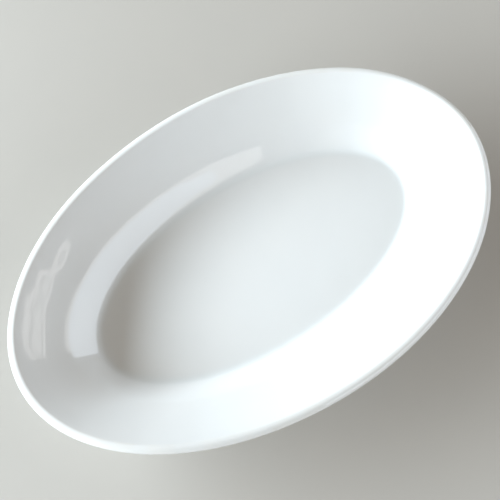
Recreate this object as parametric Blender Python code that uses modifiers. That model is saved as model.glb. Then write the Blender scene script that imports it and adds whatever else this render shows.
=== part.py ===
"""Deep oval china serving platter: the fired clay body, its standing ring and the glaze on them.

Frame: metres, +Z up, origin on the table under the middle of the platter. The long axis is X.
Every section is drawn once, as a path at the platter's long end, and turned about Z. The round that
this gives is then drawn in towards the long axis, so every level of the platter is an oval and the
rim keeps nearly one width all the way round.
"""
import math

import bmesh
import bpy
from mathutils import Vector

# ---------------------------------------------------------------- driving dimensions (metres)
LENGTH = 0.360             # over the lip, along X
WIDTH = 0.2332             # over the lip, along Y
HEIGHT = 0.047             # table to the top of the lip
DEPTH = 0.0365             # top of the lip to the floor of the well
WALL = 0.0052              # thickness of rim and wall, glaze included

LIP_TOP = (0.0052, 0.0)          # where the lip's top turns down into the rim: (distance in, drop)
LIP_BACK = (0.0054, 0.0066)      # where the lip's underside turns down into the back of the rim
LIP_DROP = 0.0060          # height of the lip's outer side
LIP_ROLL = 0.0040          # radius of its upper outer edge
LIP_UNDER = 0.0019         # radius of its lower outer edge
LIP_SHED = 0.0030          # radius from its top to the rim
LIP_ROOT = 0.0050          # radius from its underside to the back of the rim

RIM_MIDDLE = (0.0240, 0.0130)    # middle of the rim's width: (distance in, drop) from lip edge and top
SHOULDER = (0.0373, 0.0211)      # where the rim turns down into the wall
WALL_FOOT = (0.0538, DEPTH)      # where the wall would meet the floor if nothing rounded it
RIM_HOLLOW = 0.120         # radius of the rim's slight hollow
SHOULDER_ROUND = 0.024     # radius over the shoulder
FLOOR_ROUND = 0.0085       # radius from wall to floor

FOOT_HEIGHT = 0.0050       # table to the glazed underside, inside the standing ring
FOOT_INSET = 0.0490        # lip edge to the standing ring's outer side
FOOT_WIDTH = 0.0070        # standing ring, over its glaze
FOOT_EDGE = 0.0012         # rounding of its standing edges
FOOT_ROOT = 0.0030         # rounding where it joins the underside

GLAZE = 0.0004             # thickness of the fired glaze
GLAZE_LINE = 0.0013        # height at which the glaze stops, to leave the standing ring dry
GAP = 0.0003               # clearance between touching solids

# ---------------------------------------------------------------- mesh fineness
TURN_STEPS = 64            # flats round the oval, a multiple of four
ARC_STEP = math.radians(24)
SHARP_FROM = math.radians(40)      # edges that turn more than this are drawn sharp

# ---------------------------------------------------------------- derived
SPREAD = (LENGTH - WIDTH) / 2      # how far the oval is drawn in at its sides
COVER = GLAZE + GAP                # depth of the clay under the glazed surface
BODY_BASE = FOOT_HEIGHT + COVER    # flat underside of the clay body
WELD = 1e-6
STRAIGHT = 1e-6                    # a turn too small to be rounded, in radians

MATERIALS = {
    "bisque": {"color": (0.80, 0.77, 0.71, 1.0), "roughness": 0.80, "coat": 0.0},
    "dry_foot": {"color": (0.72, 0.68, 0.61, 1.0), "roughness": 0.90, "coat": 0.0},
    "glaze": {"color": (0.86, 0.86, 0.84, 1.0), "roughness": 0.08, "coat": 0.6},
}


# ---------------------------------------------------------------- section paths
def at(distance_in, height):
    """Point of the section at the long end: distance in from the lip's edge, height over the table."""
    return Vector((LENGTH / 2 - distance_in, height))


def below_lip(place):
    """Point given as (distance in, drop) from the lip's edge and top."""
    return at(place[0], HEIGHT - place[1])


def rounded(corners):
    """Path through (point, radius) corners, each corner replaced by an arc tangent to both sides."""
    path = [corners[0][0]]
    for (before, _), (corner, radius), (after, _) in zip(corners, corners[1:], corners[2:]):
        into = (corner - before).normalized()
        out_of = (after - corner).normalized()
        turn = into.angle_signed(out_of)
        if radius == 0 or abs(turn) < STRAIGHT:
            path.append(corner)
            continue
        reach = radius * math.tan(abs(turn) / 2)
        start = corner - into * reach
        side = Vector((into.y, -into.x)) * math.copysign(radius, turn)
        centre = start + side
        steps = max(1, math.ceil(abs(turn) / ARC_STEP))
        for step in range(steps + 1):
            angle = -turn * step / steps
            spoke = Vector((-side.x, -side.y))
            path.append(centre + Vector((spoke.x * math.cos(angle) - spoke.y * math.sin(angle),
                                         spoke.x * math.sin(angle) + spoke.y * math.cos(angle))))
    path.append(corners[-1][0])
    return path


def inset(path, distance):
    """The path moved sideways into the material, which lies on the right of its direction."""
    moved = []
    for index, point in enumerate(path):
        before = path[max(index - 1, 0)]
        after = path[min(index + 1, len(path) - 1)]
        into = (point - before).normalized() if index else (after - point).normalized()
        out_of = (after - point).normalized() if index < len(path) - 1 else into
        middle = (into + out_of).normalized()
        right = Vector((middle.y, -middle.x))
        moved.append(point + right * distance / middle.dot(into))
    return moved


def clipped(path, lowest, highest):
    """The stretch of the path between two heights, with new end points exactly on them."""
    kept = []
    for start, end in zip(path, path[1:]):
        rise = end.y - start.y
        cuts = [(level - start.y) / rise for level in (lowest, highest) if rise]
        stops = sorted([0.0, 1.0] + [cut for cut in cuts if 0 < cut < 1])
        for first, second in zip(stops, stops[1:]):
            middle = start.y + rise * (first + second) / 2
            if lowest - WELD <= middle <= highest + WELD:
                for stop in (first, second):
                    point = start.lerp(end, stop)
                    if not kept or (point - kept[-1]).length > WELD:
                        kept.append(point)
    return kept


def outer_path():
    """Glazed surface from the middle of the well, up over the lip and down the back to the table."""
    wall_run = below_lip(WALL_FOOT) - below_lip(SHOULDER)
    wall_slope = math.atan2(-wall_run.y, -wall_run.x)
    rim_run = below_lip(SHOULDER) - below_lip(RIM_MIDDLE)
    rim_slope = math.atan2(-rim_run.y, -rim_run.x)
    turn = (wall_slope + rim_slope) / 2
    back = Vector((math.sin(turn), -math.cos(turn))) * WALL / math.cos((wall_slope - rim_slope) / 2)
    back_shoulder = below_lip(SHOULDER) + back
    back_foot = at(FOOT_INSET, back_shoulder.y)
    back_foot.y -= (back_shoulder.x - back_foot.x) * math.tan(wall_slope)
    return rounded([
        (Vector((SPREAD, HEIGHT - DEPTH)), 0),
        (below_lip(WALL_FOOT), FLOOR_ROUND),
        (below_lip(SHOULDER), SHOULDER_ROUND),
        (below_lip(RIM_MIDDLE), RIM_HOLLOW),
        (below_lip(LIP_TOP), LIP_SHED),
        (at(0, HEIGHT), LIP_ROLL),
        (at(0, HEIGHT - LIP_DROP), LIP_UNDER),
        (below_lip(LIP_BACK), LIP_ROOT),
        (back_shoulder, SHOULDER_ROUND - WALL),
        (back_foot, FOOT_ROOT),
        (at(FOOT_INSET, 0), 0),
    ])


def inner_path():
    """Glazed surface from the table, up the standing ring's inner side and across the underside."""
    foot_inner = FOOT_INSET + FOOT_WIDTH
    return rounded([
        (at(foot_inner, 0), 0),
        (at(foot_inner, FOOT_HEIGHT), FOOT_ROOT / 2),
        (Vector((SPREAD, FOOT_HEIGHT)), 0),
    ])


# ---------------------------------------------------------------- solids
def turned_oval(name, path, closed, collection):
    """Turn a section about Z, draw the round in to the oval and weld it along its middle line."""
    profile = bpy.data.meshes.new(name + "_section")
    edges = [(index, index + 1) for index in range(len(path) - 1)]
    if closed:
        edges.append((len(path) - 1, 0))
    profile.from_pydata([(point.x, 0, point.y) for point in path], edges, [])
    turned = bpy.data.objects.new(name + "_turned", profile)
    collection.objects.link(turned)
    screw = turned.modifiers.new("turn", "SCREW")
    screw.axis = "Z"
    screw.angle = math.tau
    screw.steps = TURN_STEPS
    screw.render_steps = TURN_STEPS
    screw.use_merge_vertices = True
    screw.merge_threshold = WELD

    evaluated = turned.evaluated_get(bpy.context.evaluated_depsgraph_get())
    mesh = bpy.data.meshes.new_from_object(evaluated)
    mesh.name = name
    bpy.data.objects.remove(turned)
    bpy.data.meshes.remove(profile)

    for vertex in mesh.vertices:
        radius = math.hypot(vertex.co.x, vertex.co.y)
        vertex.co.y -= SPREAD * vertex.co.y / radius
    sculpt = bmesh.new()
    sculpt.from_mesh(mesh)
    bmesh.ops.remove_doubles(sculpt, verts=sculpt.verts, dist=WELD * 10)
    sculpt.to_mesh(mesh)
    sculpt.free()
    mesh.shade_smooth()
    mesh.set_sharp_from_angle(angle=SHARP_FROM)

    solid = bpy.data.objects.new(name, mesh)
    collection.objects.link(solid)
    return solid


def clay_body(collection):
    """The fired clay: floor, wall, rim and lip, with a flat underside over the standing ring."""
    path = clipped(inset(outer_path(), COVER), BODY_BASE, HEIGHT)
    path.append(Vector((SPREAD, BODY_BASE)))
    return turned_oval("clay_body", path, False, collection)


def foot_ring(collection):
    """The standing ring, dry on its bottom edge so that it doesn't stick in the kiln."""
    top = BODY_BASE - GAP
    outer_side = clipped(inset(outer_path(), COVER), 0, top)
    outer_side = [point for point in outer_side if point.x > LENGTH / 2 - FOOT_INSET - FOOT_WIDTH]
    inner_side = clipped(inset(inner_path(), COVER), 0, top)
    corners = [(point, 0) for point in outer_side[:-1]]
    corners.append((outer_side[-1], FOOT_EDGE))
    corners.append((inner_side[0], FOOT_EDGE))
    corners.extend((point, 0) for point in inner_side[1:])
    return turned_oval("foot_ring", rounded(corners), True, collection)


def glaze_coat(collection):
    """The glaze over the whole face, the lip and the back, down to the dry edge of the foot."""
    skin = outer_path()
    outside = clipped(skin, GLAZE_LINE, HEIGHT)
    inside = clipped(inset(skin, GLAZE), GLAZE_LINE, HEIGHT)
    return turned_oval("glaze_coat", outside + inside[::-1], False, collection)


def base_glaze(collection):
    """The separate panel of glaze under the platter, inside the standing ring."""
    skin = inner_path()
    outside = clipped(skin, GLAZE_LINE, HEIGHT)
    inside = clipped(inset(skin, GLAZE), GLAZE_LINE, HEIGHT)
    return turned_oval("base_glaze", inside[::-1] + outside, False, collection)


# ---------------------------------------------------------------- materials and scene
def material(name):
    look = MATERIALS[name]
    made = bpy.data.materials.new(name)
    made.use_nodes = True
    shader = made.node_tree.nodes["Principled BSDF"]
    shader.inputs["Base Color"].default_value = look["color"]
    shader.inputs["Roughness"].default_value = look["roughness"]
    shader.inputs["Metallic"].default_value = 0.0
    shader.inputs["Coat Weight"].default_value = look["coat"]
    made.diffuse_color = look["color"]
    return made


def main():
    for old in list(bpy.data.objects):
        bpy.data.objects.remove(old)
    platter = bpy.data.collections.new("china_serving_platter")
    bpy.context.scene.collection.children.link(platter)
    clay_body(platter).data.materials.append(material("bisque"))
    foot_ring(platter).data.materials.append(material("dry_foot"))
    glaze_coat(platter).data.materials.append(material("glaze"))
    base_glaze(platter).data.materials.append(bpy.data.materials["glaze"])


main()
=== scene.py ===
"""Looks of the deep oval china platter: fine glazed surfaces, dry foot, floor, light and camera.

Metres, +Z up, long axis along X. The origin is under the middle of the platter, on the plane that it
stands on. Every surface of the platter is a section path at its long end, turned about Z, drawn in to
the oval and slightly warped.
"""
import math

import bmesh
import bpy
import numpy as np
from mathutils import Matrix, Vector


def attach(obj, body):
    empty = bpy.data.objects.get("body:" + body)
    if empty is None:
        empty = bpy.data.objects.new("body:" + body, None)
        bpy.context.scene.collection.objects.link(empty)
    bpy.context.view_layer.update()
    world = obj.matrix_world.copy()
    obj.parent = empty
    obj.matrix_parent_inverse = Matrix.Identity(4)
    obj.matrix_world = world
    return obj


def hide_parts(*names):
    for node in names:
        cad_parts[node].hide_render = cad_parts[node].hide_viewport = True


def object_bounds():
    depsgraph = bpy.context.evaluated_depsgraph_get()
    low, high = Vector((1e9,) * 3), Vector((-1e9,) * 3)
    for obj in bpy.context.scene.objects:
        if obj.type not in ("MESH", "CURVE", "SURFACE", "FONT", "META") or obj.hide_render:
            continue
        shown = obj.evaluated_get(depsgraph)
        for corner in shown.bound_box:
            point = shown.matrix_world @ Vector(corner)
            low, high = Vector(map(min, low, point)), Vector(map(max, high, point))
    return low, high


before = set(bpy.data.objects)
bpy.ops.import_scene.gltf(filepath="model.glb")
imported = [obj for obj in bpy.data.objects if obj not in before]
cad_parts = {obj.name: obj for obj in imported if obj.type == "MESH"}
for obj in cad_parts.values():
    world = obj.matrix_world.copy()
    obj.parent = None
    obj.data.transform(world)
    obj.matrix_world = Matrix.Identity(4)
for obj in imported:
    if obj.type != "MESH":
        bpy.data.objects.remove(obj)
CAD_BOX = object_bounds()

# ---------------------------------------------------------------- sizes, from the frame and the design
LOW, HIGH = Vector(CAD_BOX[0]), Vector(CAD_BOX[1])
LENGTH, WIDTH, HEIGHT = HIGH - LOW
SPREAD = (LENGTH - WIDTH) / 2      # how far the turned round is drawn in at the platter's sides
DEPTH = 0.0365                     # top of the lip to the floor of the well
WALL = 0.0052                      # thickness of the wall and about that of the rim, glaze included
GLAZE = 0.0004                     # thickness of the fired glaze
FIT = 0.00002                      # gap between surfaces that touch, too small to show
COVER = GLAZE + FIT                # depth of the clay under the glazed surface
GLAZE_LINE = 0.0013                # height at which the glaze stops, to leave the standing ring dry

LIP_TOP = (0.0052, 0.0)            # corners as (distance in, drop) from the lip's edge and top
LIP_BACK = (0.0054, 0.0066)
RIM_MIDDLE = (0.0240, 0.0130)
SHOULDER = (0.0373, 0.0211)        # where the rim turns down into the wall
WALL_FOOT = (0.0538, DEPTH)        # where the wall would meet the floor if nothing rounded it
LIP_DROP = 0.0060                  # height of the lip's outer side
LIP_ROLL = 0.0040                  # radii: of the lip's upper outer edge,
LIP_UNDER = 0.0019                 # of its lower outer edge,
LIP_SHED = 0.0030                  # from its top to the rim,
LIP_ROOT = 0.0050                  # from its underside to the back,
RIM_HOLLOW = 0.120                 # of the rim's slight hollow,
SHOULDER_ROUND = 0.024             # over the shoulder
FLOOR_ROUND = 0.0085               # and from the wall to the well's floor

FOOT_HEIGHT = 0.0050               # of the glazed underside, inside the standing ring
FOOT_INSET = 0.0490                # lip edge to the standing ring's outer side
FOOT_WIDTH = 0.0070
FOOT_EDGE = 0.0012                 # rounding of its standing edges
FOOT_ROOT = 0.0030                 # rounding where it joins the back, twice that of its inner side
BODY_BASE = FOOT_HEIGHT + COVER    # flat underside of the clay

# ---------------------------------------------------------------- fineness of the visible surfaces
TURN_STEPS = 288                   # quads round the oval
ARC_STEP = math.radians(3)         # most that an arc turns from point to point
PATH_STEP = 0.00025                # spacing of a section's points before they are thinned
SOFTEN_PASSES = 70                 # spreads each change of curve over about 1.5 mm, as fired glaze does
SOFTEN_PULL = 0.5                  # share of the way from a point to the middle of its neighbours
SOFTEN_FADE = 21                   # points over which the softening fades out
LIP_ZONE = 0.0090                  # so far in from its edge the lip keeps its crisper rounding
FINE_TURN, FINE_RUN = math.radians(4), 0.0030         # most from one kept point to the next, where seen
COARSE_TURN, COARSE_RUN = math.radians(12), 0.0090    # and where it is hidden or flat
BEAD_STEPS = 6                     # flats round the glaze's rounded edge
STRAIGHT = 1e-6                    # a turn too small to be rounded, in radians
WELD = 1e-5                        # points closer than this become one
SHARP_FROM = math.radians(50)      # edges that turn by more are shaded sharp
TIGHT_RADIUS = 0.0080              # bends of this radius or less count as fully hollow or fully sharp

# ---------------------------------------------------------------- how the fired piece departs from true
RIM_FOOT = 0.0570                  # distance in at which the floor begins and the outline's departures end
THREE_LOBED, THREE_AT = 0.00075, math.radians(59)    # the outline's departures, and where a lobe lies
TWO_LOBED, TWO_AT = 0.00030, math.radians(-60)
SAG, SAG_LOBES, SAG_AT = 0.00030, 8, math.radians(150)    # the lip's rise and fall round the oval
RIPPLES = 9                        # slow waves in the glazed surface, each of another length and direction
SHORTEST_RIPPLE, RIPPLE_GROWTH = 0.014, 1.14
RIPPLE_SLOPE = 0.0034              # steepest slope of each wave
RIPPLE_TURN, RIPPLE_SHIFT = math.radians(-9.23), 1.593    # direction and phase, from each wave to the next
FLOOR_CALM = 0.35                  # share of the waves left on the flat floor, where glaze settles level
FLOOR_EDGE = (0.062, 0.050)        # distances in between which they grow to the full waves of the wall
GLAZE_WAVER = 0.00035              # unevenness of the glaze's lower edge round the foot
WAVERS = ((7, 1, 2), (17, 0, 3), (41, 0, 6))    # its waves: lobes round the oval, phase and divisor
WAVER_TOP = 2.5 * GLAZE_LINE       # height at which that unevenness has died out
RUBBED = 0.00035                   # height to which the foot's standing edge is rubbed by use

# ---------------------------------------------------------------- view and light
VIEW_ELEVATION = math.radians(69.5)
VIEW_TURN = math.radians(33.8)     # the platter's long axis, turned from the picture's level line
VIEW_DISTANCE = 0.537
VIEW_LENS, SENSOR_WIDTH = 57.6, 36
VIEW_AIM = (-0.0053, -0.0052)      # aim on the lip's plane: right and away, in the camera's heading
RIGHT = Vector((math.cos(VIEW_TURN), -math.sin(VIEW_TURN), 0))
AWAY = Vector((math.sin(VIEW_TURN), math.cos(VIEW_TURN), 0))
UP = Vector((0, 0, 1))

STAGE_REACH = 3.0                  # half the side of the floor under the platter
ROOM_COLOR, ROOM_STRENGTH = (1.0, 0.83, 0.59, 1), 0.20    # weak warm light from all round
KEY_PLACE = (178, 1.6)             # heading at which a window stands, in degrees, and its distance
SIDE_PLACE = (-5, 1.5)
KEY_TINT, SIDE_TINT, UPPER_TINT = (0.81, 0.92, 1.0), (0.79, 0.89, 1.0), (1.0, 0.98, 0.95)
KEY_PANES = (                      # each pane: name, span sideways, span in height, radiance and color
    ("key_window", (-1.3, 1.9), (0.42, 0.85), 27.2, KEY_TINT),
)
SIDE_PANES = (
    ("side_pane", (-1.72, 1.72), (0.12, 1.06), 2.8, SIDE_TINT),
    ("side_upper_pane", (-1.72, 1.40), (1.06, 1.287), 1.7, UPPER_TINT),
    ("side_top_strip", (-1.72, 1.50), (1.297, 1.325), 2.0, UPPER_TINT),
    ("side_end_strip", (1.43, 1.50), (1.06, 1.287), 2.0, UPPER_TINT),
)


# ---------------------------------------------------------------- section paths (x and z at the long end)
def at(distance_in, height):
    """Point of the section at the long end, by distance in from the lip's edge and height."""
    return np.array([LENGTH / 2 - distance_in, height])


def below_lip(place):
    """Point given as (distance in, drop) from the lip's edge and top."""
    return at(place[0], HEIGHT - place[1])


def unit(vector):
    return vector / np.linalg.norm(vector)


def rounded(corners):
    """Path through (point, radius) corners, each corner replaced by an arc tangent to both sides."""
    path = [corners[0][0]]
    for (before, _), (corner, radius), (after, _) in zip(corners, corners[1:], corners[2:]):
        into, out_of = unit(corner - before), unit(after - corner)
        turn = math.atan2(into[0] * out_of[1] - into[1] * out_of[0], into @ out_of)
        if radius == 0 or abs(turn) < STRAIGHT:
            path.append(corner)
            continue
        start = corner - into * radius * math.tan(abs(turn) / 2)
        side = np.array([-into[1], into[0]]) * math.copysign(radius, turn)
        steps = max(1, math.ceil(abs(turn) / ARC_STEP))
        for step in range(steps + 1):
            angle = turn * step / steps
            cos, sin = math.cos(angle), math.sin(angle)
            path.append(start + side + np.array([-side[0] * cos + side[1] * sin,
                                                 -side[0] * sin - side[1] * cos]))
    path.append(corners[-1][0])
    return np.array(path)


def evened(path, spacing):
    """The same path with points at an even spacing."""
    run = np.concatenate([[0], np.cumsum(np.linalg.norm(np.diff(path, axis=0), axis=1))])
    stops = np.linspace(0, run[-1], max(2, round(run[-1] / spacing) + 1))
    return np.stack([np.interp(stops, run, path[:, 0]), np.interp(stops, run, path[:, 1])], axis=1)


def softened(path):
    """The path with its changes of curve eased, except at the lip and at both ends."""
    path = evened(path, PATH_STEP)
    free = (path[:, 0] < LENGTH / 2 - LIP_ZONE).astype(float)
    free = np.convolve(free, np.ones(SOFTEN_FADE) / SOFTEN_FADE, mode="same")[:, None]
    free[0] = free[-1] = 0
    for _ in range(SOFTEN_PASSES):
        middle = (np.roll(path, 1, axis=0) + np.roll(path, -1, axis=0)) / 2
        path = path + (middle - path) * SOFTEN_PULL * free
    return path


def thinned(path, most_turn, most_run):
    """Only the points that the path's shape needs."""
    heading = np.unwrap(np.arctan2(*np.diff(path, axis=0).T[::-1]))
    kept = [0]
    for index in range(1, len(path) - 1):
        last = kept[-1]
        turned = abs(heading[index] - heading[last])
        if turned >= most_turn or np.linalg.norm(path[index] - path[last]) >= most_run:
            kept.append(index)
    kept.append(len(path) - 1)
    return path[kept]


def inset(path, distance):
    """The path moved sideways into the material, which lies on the right of its direction."""
    steps = np.diff(path, axis=0)
    steps = steps / np.linalg.norm(steps, axis=1)[:, None]
    into = np.vstack([steps[:1], steps])
    out_of = np.vstack([steps, steps[-1:]])
    middle = into + out_of
    middle = middle / np.linalg.norm(middle, axis=1)[:, None]
    right = np.stack([middle[:, 1], -middle[:, 0]], axis=1)
    return path + right * distance / (middle * into).sum(axis=1)[:, None]


def clipped(path, lowest, highest=math.inf):
    """The stretch of the path between two heights."""
    return path[(path[:, 1] >= lowest) & (path[:, 1] <= highest)]


def outer_path():
    """Glazed surface from the middle of the well, up over the lip and down the back to height 0."""
    wall_run = below_lip(WALL_FOOT) - below_lip(SHOULDER)
    wall_slope = math.atan2(-wall_run[1], -wall_run[0])
    rim_run = below_lip(SHOULDER) - below_lip(RIM_MIDDLE)
    rim_slope = math.atan2(-rim_run[1], -rim_run[0])
    turn = (wall_slope + rim_slope) / 2
    reach = WALL / math.cos((wall_slope - rim_slope) / 2)
    back_shoulder = below_lip(SHOULDER) + reach * np.array([math.sin(turn), -math.cos(turn)])
    foot_x = LENGTH / 2 - FOOT_INSET
    back_foot = np.array([foot_x, back_shoulder[1] - (back_shoulder[0] - foot_x) * math.tan(wall_slope)])
    return softened(rounded([
        (np.array([SPREAD, HEIGHT - DEPTH]), 0),
        (below_lip(WALL_FOOT), FLOOR_ROUND),
        (below_lip(SHOULDER), SHOULDER_ROUND),
        (below_lip(RIM_MIDDLE), RIM_HOLLOW),
        (below_lip(LIP_TOP), LIP_SHED),
        (at(0, HEIGHT), LIP_ROLL),
        (at(0, HEIGHT - LIP_DROP), LIP_UNDER),
        (below_lip(LIP_BACK), LIP_ROOT),
        (back_shoulder, SHOULDER_ROUND - WALL),
        (back_foot, FOOT_ROOT),
        (at(FOOT_INSET, 0), 0),
    ]))


def inner_path():
    """Glazed surface from height 0, up the standing ring's inner side and across the underside."""
    foot_inner = FOOT_INSET + FOOT_WIDTH
    return evened(rounded([
        (at(foot_inner, 0), 0),
        (at(foot_inner, FOOT_HEIGHT), FOOT_ROOT / 2),
        (np.array([SPREAD, FOOT_HEIGHT]), 0),
    ]), PATH_STEP)


# ---------------------------------------------------------------- solids
def placed(name, data):
    """New object of this data, in the scene."""
    obj = bpy.data.objects.new(name, data)
    bpy.context.scene.collection.objects.link(obj)
    return obj


def eased(value, start, end):
    """0 before start, 1 past end and smooth between them."""
    share = np.clip((value - start) / (end - start), 0, 1)
    return share * share * (3 - 2 * share)


def rippled(x, y):
    """Height of the glazed surface's slow waves."""
    height = 0 * x
    for index in range(RIPPLES):
        length = SHORTEST_RIPPLE * RIPPLE_GROWTH ** index
        heading = index * RIPPLE_TURN
        along = x * math.cos(heading) + y * math.sin(heading)
        phase = along * math.tau / length + index * RIPPLE_SHIFT
        height = height + RIPPLE_SLOPE * length / math.tau * np.sin(phase)
    return height


def fired(radius, turn, height):
    """Place of a section point after the turned round is drawn in to the oval and fired."""
    rim = eased(radius, LENGTH / 2 - RIM_FOOT, LENGTH / 2)
    three = THREE_LOBED * np.cos(3 * (turn - THREE_AT))
    two = TWO_LOBED * np.cos(2 * (turn - TWO_AT))
    radius = radius + rim * (three + two)
    x = radius * np.cos(turn)
    y = (radius - SPREAD) * np.sin(turn)
    up_rim = np.clip((radius - LENGTH / 2 + SHOULDER[0]) / SHOULDER[0], 0, 1)
    height = height - SAG * up_rim * np.cos(SAG_LOBES * (turn - SAG_AT))
    above_foot = eased(height, FOOT_HEIGHT, 2 * FOOT_HEIGHT)
    off_floor = eased(radius, LENGTH / 2 - FLOOR_EDGE[0], LENGTH / 2 - FLOOR_EDGE[1])
    waves = above_foot * (FLOOR_CALM + (1 - FLOOR_CALM) * off_floor)
    return np.stack([x, y, height + waves * rippled(x, y)], axis=-1)


def hollowness(path):
    """How hollow the section is at each point, from 1 in a tight hollow to -1 on a tight edge."""
    steps = np.diff(path, axis=0)
    run = np.linalg.norm(steps, axis=1)
    heading = np.unwrap(np.arctan2(steps[:, 1], steps[:, 0]))
    bend = np.zeros(len(path))
    bend[1:-1] = np.diff(heading) / ((run[1:] + run[:-1]) / 2)
    return np.clip(bend * TIGHT_RADIUS, -1, 1)


def swept_oval(name, path, closed=False, wavering=False):
    """Carry a section round the oval and weld its points on the middle line. A closed section is a
    ring's; a wavering one has the glaze's uneven lower edge."""
    turn = np.arange(TURN_STEPS) * math.tau / TURN_STEPS
    height = path[:, 1][:, None] + 0 * turn
    if wavering:
        waver = sum(np.cos(lobes * turn + phase) / divisor for lobes, phase, divisor in WAVERS)
        height = height + GLAZE_WAVER * waver * (1 - eased(height, GLAZE_LINE, WAVER_TOP))
    places = fired(path[:, 0][:, None], turn, height)
    faces = []
    for row in range(len(path) if closed else len(path) - 1):
        following = (row + 1) % len(path)
        for column in range(TURN_STEPS):
            beside = (column + 1) % TURN_STEPS
            faces.append((row * TURN_STEPS + column, following * TURN_STEPS + column,
                          following * TURN_STEPS + beside, row * TURN_STEPS + beside))
    mesh = bpy.data.meshes.new(name)
    mesh.from_pydata(places.reshape(-1, 3).tolist(), [], faces)
    pooling = mesh.attributes.new("pooling", "FLOAT", "POINT")
    pooling.data.foreach_set("value", np.repeat(hollowness(path), TURN_STEPS).astype(np.float32))
    sculpt = bmesh.new()
    sculpt.from_mesh(mesh)
    bmesh.ops.remove_doubles(sculpt, verts=sculpt.verts, dist=WELD)
    sculpt.to_mesh(mesh)
    sculpt.free()
    mesh.shade_smooth()
    mesh.set_sharp_from_angle(angle=SHARP_FROM)
    return placed(name, mesh)


def clay_piece(outer):
    """The clay under the glaze: floor, wall, rim and lip, with a flat base over the standing ring."""
    path = clipped(thinned(inset(outer, COVER), COARSE_TURN, COARSE_RUN), BODY_BASE)
    path = np.vstack([path, [path[-1][0], BODY_BASE], [SPREAD, BODY_BASE]])
    return swept_oval("china_clay", path)


def foot_piece(outer, inner):
    """The standing ring, whose bare lower edge shows under the glaze."""
    top = BODY_BASE - FIT
    outer_side = clipped(inset(outer, COVER), 0, top)
    outer_side = outer_side[outer_side[:, 0] > LENGTH / 2 - FOOT_INSET - FOOT_WIDTH]
    outer_side = thinned(outer_side, FINE_TURN, FINE_RUN)
    inner_side = thinned(clipped(inset(inner, COVER), 0, top), FINE_TURN, FINE_RUN)
    corners = [(point, 0) for point in outer_side[:-1]]
    corners.append((np.array([outer_side[-1][0], 0]), FOOT_EDGE))
    corners.append((np.array([inner_side[0][0], 0]), FOOT_EDGE))
    corners.extend((point, 0) for point in inner_side[1:])
    return swept_oval("china_foot", rounded(corners), closed=True)


def glaze_skin(name, surface, run):
    """The fired glaze over a surface: its edges end in a round bead at the glaze line."""
    outside = clipped(surface, GLAZE_LINE)
    inside = clipped(inset(surface, GLAZE), GLAZE_LINE)
    coarse = thinned(inside, COARSE_TURN, COARSE_RUN)
    fine = thinned(outside, FINE_TURN, run)
    starts_low = surface[0][1] < GLAZE_LINE
    start, end = (inside[0], outside[0]) if starts_low else (outside[-1], inside[-1])
    middle, reach = (start + end) / 2, (start - end) / 2
    droop = np.array([0, -GLAZE / 2])
    bead = [middle + reach * math.cos(angle) + droop * math.sin(angle)
            for angle in np.linspace(0, math.pi, BEAD_STEPS + 1)[1:-1]]
    stretches = (coarse[::-1], bead, fine) if starts_low else (fine, bead, coarse[::-1])
    return swept_oval(name, np.vstack(stretches), wavering=True)


# ---------------------------------------------------------------- materials
class Surface:
    """A procedural material. Its patterns are laid out in metres in the object's own frame."""

    MIX_SHARE, MIX_COLOR, MIX_OTHER, MIX_RESULT = 0, 6, 7, 2    # sockets of a Mix node for colors
    DRAW_EDGE = 0.01                                            # width of the step that picks the specks

    def __init__(self, name):
        self.material = bpy.data.materials.new(name)
        self.material.use_nodes = True
        self.tree = self.material.node_tree
        self.shader = self.tree.nodes["Principled BSDF"]
        self.place = self.add("ShaderNodeTexCoord").outputs["Object"]

    def add(self, kind, inputs=None, **settings):
        node = self.tree.nodes.new(kind)
        for name, value in settings.items():
            setattr(node, name, value)
        for name, value in (inputs or {}).items():
            self.feed(node.inputs[name], value)
        return node

    def feed(self, socket, value):
        if isinstance(value, bpy.types.NodeSocket):
            self.tree.links.new(value, socket)
        else:
            socket.default_value = value

    def noise(self, size, detail=3.0, roughness=0.5):
        """Cloudy pattern whose patches are about this size."""
        inputs = {"Vector": self.place, "Scale": 1 / size, "Detail": detail, "Roughness": roughness}
        return self.add("ShaderNodeTexNoise", inputs).outputs["Fac"]

    def ramp(self, value, start, end, low=0.0, high=1.0):
        """The value's stretch from start to end, mapped to low to high and held there outside."""
        inputs = {"Value": value, "From Min": start, "From Max": end, "To Min": low, "To Max": high}
        return self.add("ShaderNodeMapRange", inputs).outputs["Result"]

    def product(self, first, second):
        return self.add("ShaderNodeMath", {0: first, 1: second}, operation="MULTIPLY").outputs[0]

    def blend(self, share, color, other):
        """Color where share is 0, other where it is 1."""
        mixer = self.add("ShaderNodeMix", data_type="RGBA")
        self.feed(mixer.inputs[self.MIX_SHARE], share)
        self.feed(mixer.inputs[self.MIX_COLOR], color)
        self.feed(mixer.inputs[self.MIX_OTHER], other)
        return mixer.outputs[self.MIX_RESULT]

    def specks(self, spacing, radius, chosen):
        """1 inside round specks, in this share of the cells, which are a spacing apart."""
        cells = self.add("ShaderNodeTexVoronoi", {"Vector": self.place, "Scale": 1 / spacing})
        near = self.ramp(cells.outputs["Distance"], radius / spacing, radius / spacing / 2)
        draw = self.add("ShaderNodeSeparateColor", {"Color": cells.outputs["Color"]}).outputs[0]
        return self.product(near, self.ramp(draw, chosen, chosen - self.DRAW_EDGE))

    def bump(self, height, depth):
        inputs = {"Height": height, "Distance": depth, "Strength": 1.0}
        return self.add("ShaderNodeBump", inputs).outputs["Normal"]

    def finish(self, color, roughness, normal):
        self.feed(self.shader.inputs["Base Color"], color)
        self.feed(self.shader.inputs["Roughness"], roughness)
        self.feed(self.shader.inputs["Normal"], normal)
        return self.material


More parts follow.
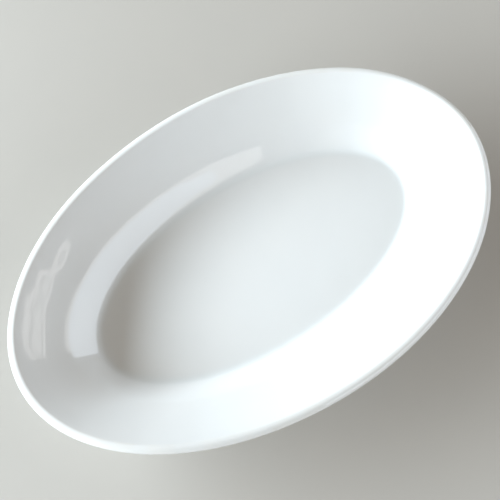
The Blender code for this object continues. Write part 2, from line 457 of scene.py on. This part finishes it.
def glaze_material():
    """White glaze: a touch greener where it pools in hollows, warmer where it runs thin on edges."""
    white, greyer = (0.818, 0.817, 0.806, 1), (0.797, 0.800, 0.794, 1)
    pooled, thinned_out, speck = (0.765, 0.785, 0.783, 1), (0.800, 0.777, 0.738, 1), (0.60, 0.57, 0.52, 1)
    surface = Surface("china_white_glaze")
    pooling = surface.add("ShaderNodeAttribute", attribute_name="pooling").outputs["Fac"]
    color = surface.blend(surface.ramp(surface.noise(size=0.070), 0.35, 0.65), white, greyer)
    color = surface.blend(surface.ramp(pooling, 0.0, 1.0, high=0.7), color, pooled)
    on_edge = surface.ramp(pooling, -0.5, -1.0, high=0.5)
    patchy = surface.ramp(surface.noise(size=0.012), 0.4, 0.6, low=0.3)
    color = surface.blend(surface.product(on_edge, patchy), color, thinned_out)
    specks = surface.specks(spacing=0.007, radius=0.00022, chosen=0.12)
    color = surface.blend(specks, color, speck)
    wiped = surface.ramp(surface.noise(size=0.030, detail=4), 0.35, 0.70, low=0.024, high=0.046)
    peel = surface.bump(surface.noise(size=0.0045, detail=2), depth=0.0000045)
    surface.shader.inputs["IOR"].default_value = 1.62
    return surface.finish(color, wiped, peel)


def bare_clay(name, light, dark):
    """A surface of fired clay without glaze, with its fine grain and its color with iron specks."""
    surface = Surface(name)
    grain = surface.noise(size=0.0008, detail=5, roughness=0.7)
    clay = surface.blend(surface.ramp(grain, 0.3, 0.7), light, dark)
    specks = surface.specks(spacing=0.0035, radius=0.00030, chosen=0.3)
    return surface, grain, surface.blend(specks, clay, (0.38, 0.31, 0.25, 1))


def hidden_clay_material():
    surface, grain, color = bare_clay("china_bisque", (0.80, 0.77, 0.71, 1), (0.74, 0.70, 0.63, 1))
    roughness = surface.ramp(grain, 0.3, 0.7, low=0.75, high=0.88)
    return surface.finish(color, roughness, surface.bump(grain, depth=0.00004))


def dry_foot_material():
    """The clay of the standing ring, rubbed smoother and greyer on its lowest edge."""
    surface, grain, clay = bare_clay("china_dry_foot", (0.76, 0.72, 0.65, 1), (0.66, 0.61, 0.53, 1))
    height = surface.add("ShaderNodeSeparateXYZ", {"Vector": surface.place}).outputs["Z"]
    patchy = surface.ramp(surface.noise(size=0.006, detail=4), 0.35, 0.6, low=0.25, high=0.85)
    worn = surface.product(surface.ramp(height, RUBBED, 0.0), patchy)
    color = surface.blend(worn, clay, (0.47, 0.45, 0.42, 1))
    roughness = surface.ramp(worn, 0.0, 1.0, low=0.90, high=0.55)
    return surface.finish(color, roughness, surface.bump(grain, depth=0.00007))


def floor_material():
    """Plain pale floor with a faint grain."""
    surface = Surface("floor_pale")
    cloud = surface.ramp(surface.noise(size=0.060, detail=4), 0.3, 0.7)
    color = surface.blend(cloud, (0.505, 0.474, 0.433, 1), (0.495, 0.466, 0.427, 1))
    roughness = surface.ramp(cloud, 0.0, 1.0, low=0.66, high=0.74)
    return surface.finish(color, roughness, surface.bump(surface.noise(size=0.0010), depth=0.00003))


# ---------------------------------------------------------------- camera, floor and lights
def aim(obj, place, target):
    obj.location = place
    obj.rotation_euler = (target - place).to_track_quat("-Z", "Y").to_euler()


def camera():
    data = bpy.data.cameras.new("camera")
    data.lens = VIEW_LENS
    data.sensor_width = SENSOR_WIDTH
    obj = placed("camera", data)
    target = RIGHT * VIEW_AIM[0] + AWAY * VIEW_AIM[1] + UP * HEIGHT
    back = UP * math.sin(VIEW_ELEVATION) - AWAY * math.cos(VIEW_ELEVATION)
    aim(obj, target + back * VIEW_DISTANCE, target)
    bpy.context.scene.camera = obj


def window(facing, distance, name, sideways, heights, radiance, color):
    """Upright soft light like a window in a wall. It faces the platter from one heading (0 is the
    picture's right, 90 its far side) and spans sideways, positive anticlockwise, and in height."""
    width, height = sideways[1] - sideways[0], heights[1] - heights[0]
    data = bpy.data.lights.new(name, "AREA")
    data.shape = "RECTANGLE"
    data.size, data.size_y = width, height
    data.energy = radiance * math.pi * width * height
    data.color = color
    heading = math.radians(facing)
    outward = RIGHT * math.cos(heading) + AWAY * math.sin(heading)
    along = AWAY * math.cos(heading) - RIGHT * math.sin(heading)
    centre = outward * distance + along * sum(sideways) / 2 + UP * sum(heights) / 2
    aim(placed(name, data), centre, centre - outward)


def floor():
    mesh = bpy.data.meshes.new("floor")
    sculpt = bmesh.new()
    bmesh.ops.create_grid(sculpt, x_segments=1, y_segments=1, size=STAGE_REACH)
    sculpt.to_mesh(mesh)
    sculpt.free()
    mesh.materials.append(floor_material())
    placed("floor", mesh)


def studio():
    world = bpy.data.worlds.new("studio")
    bpy.context.scene.world = world
    world.use_nodes = True
    background = world.node_tree.nodes["Background"]
    background.inputs["Color"].default_value = ROOM_COLOR
    background.inputs["Strength"].default_value = ROOM_STRENGTH
    for place, panes in ((KEY_PLACE, KEY_PANES), (SIDE_PLACE, SIDE_PANES)):
        for pane in panes:
            window(*place, *pane)
    bpy.context.scene.view_settings.view_transform = "Standard"


# ---------------------------------------------------------------- assembly
OUTER, INNER = outer_path(), inner_path()
WHITE_GLAZE = glaze_material()
PIECES = (
    (clay_piece(OUTER), "clay_body", "bisque", hidden_clay_material()),
    (foot_piece(OUTER, INNER), "foot_ring", "dry_foot", dry_foot_material()),
    (glaze_skin("china_glaze", OUTER, FINE_RUN), "glaze_coat", "glaze", WHITE_GLAZE),
    (glaze_skin("china_base_glaze", INNER, COARSE_RUN), "base_glaze", "glaze", WHITE_GLAZE),
)
for piece, node, slot, made in PIECES:
    piece.data.materials.append(made)
    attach(piece, "root")
    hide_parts(node)
camera()
floor()
studio()
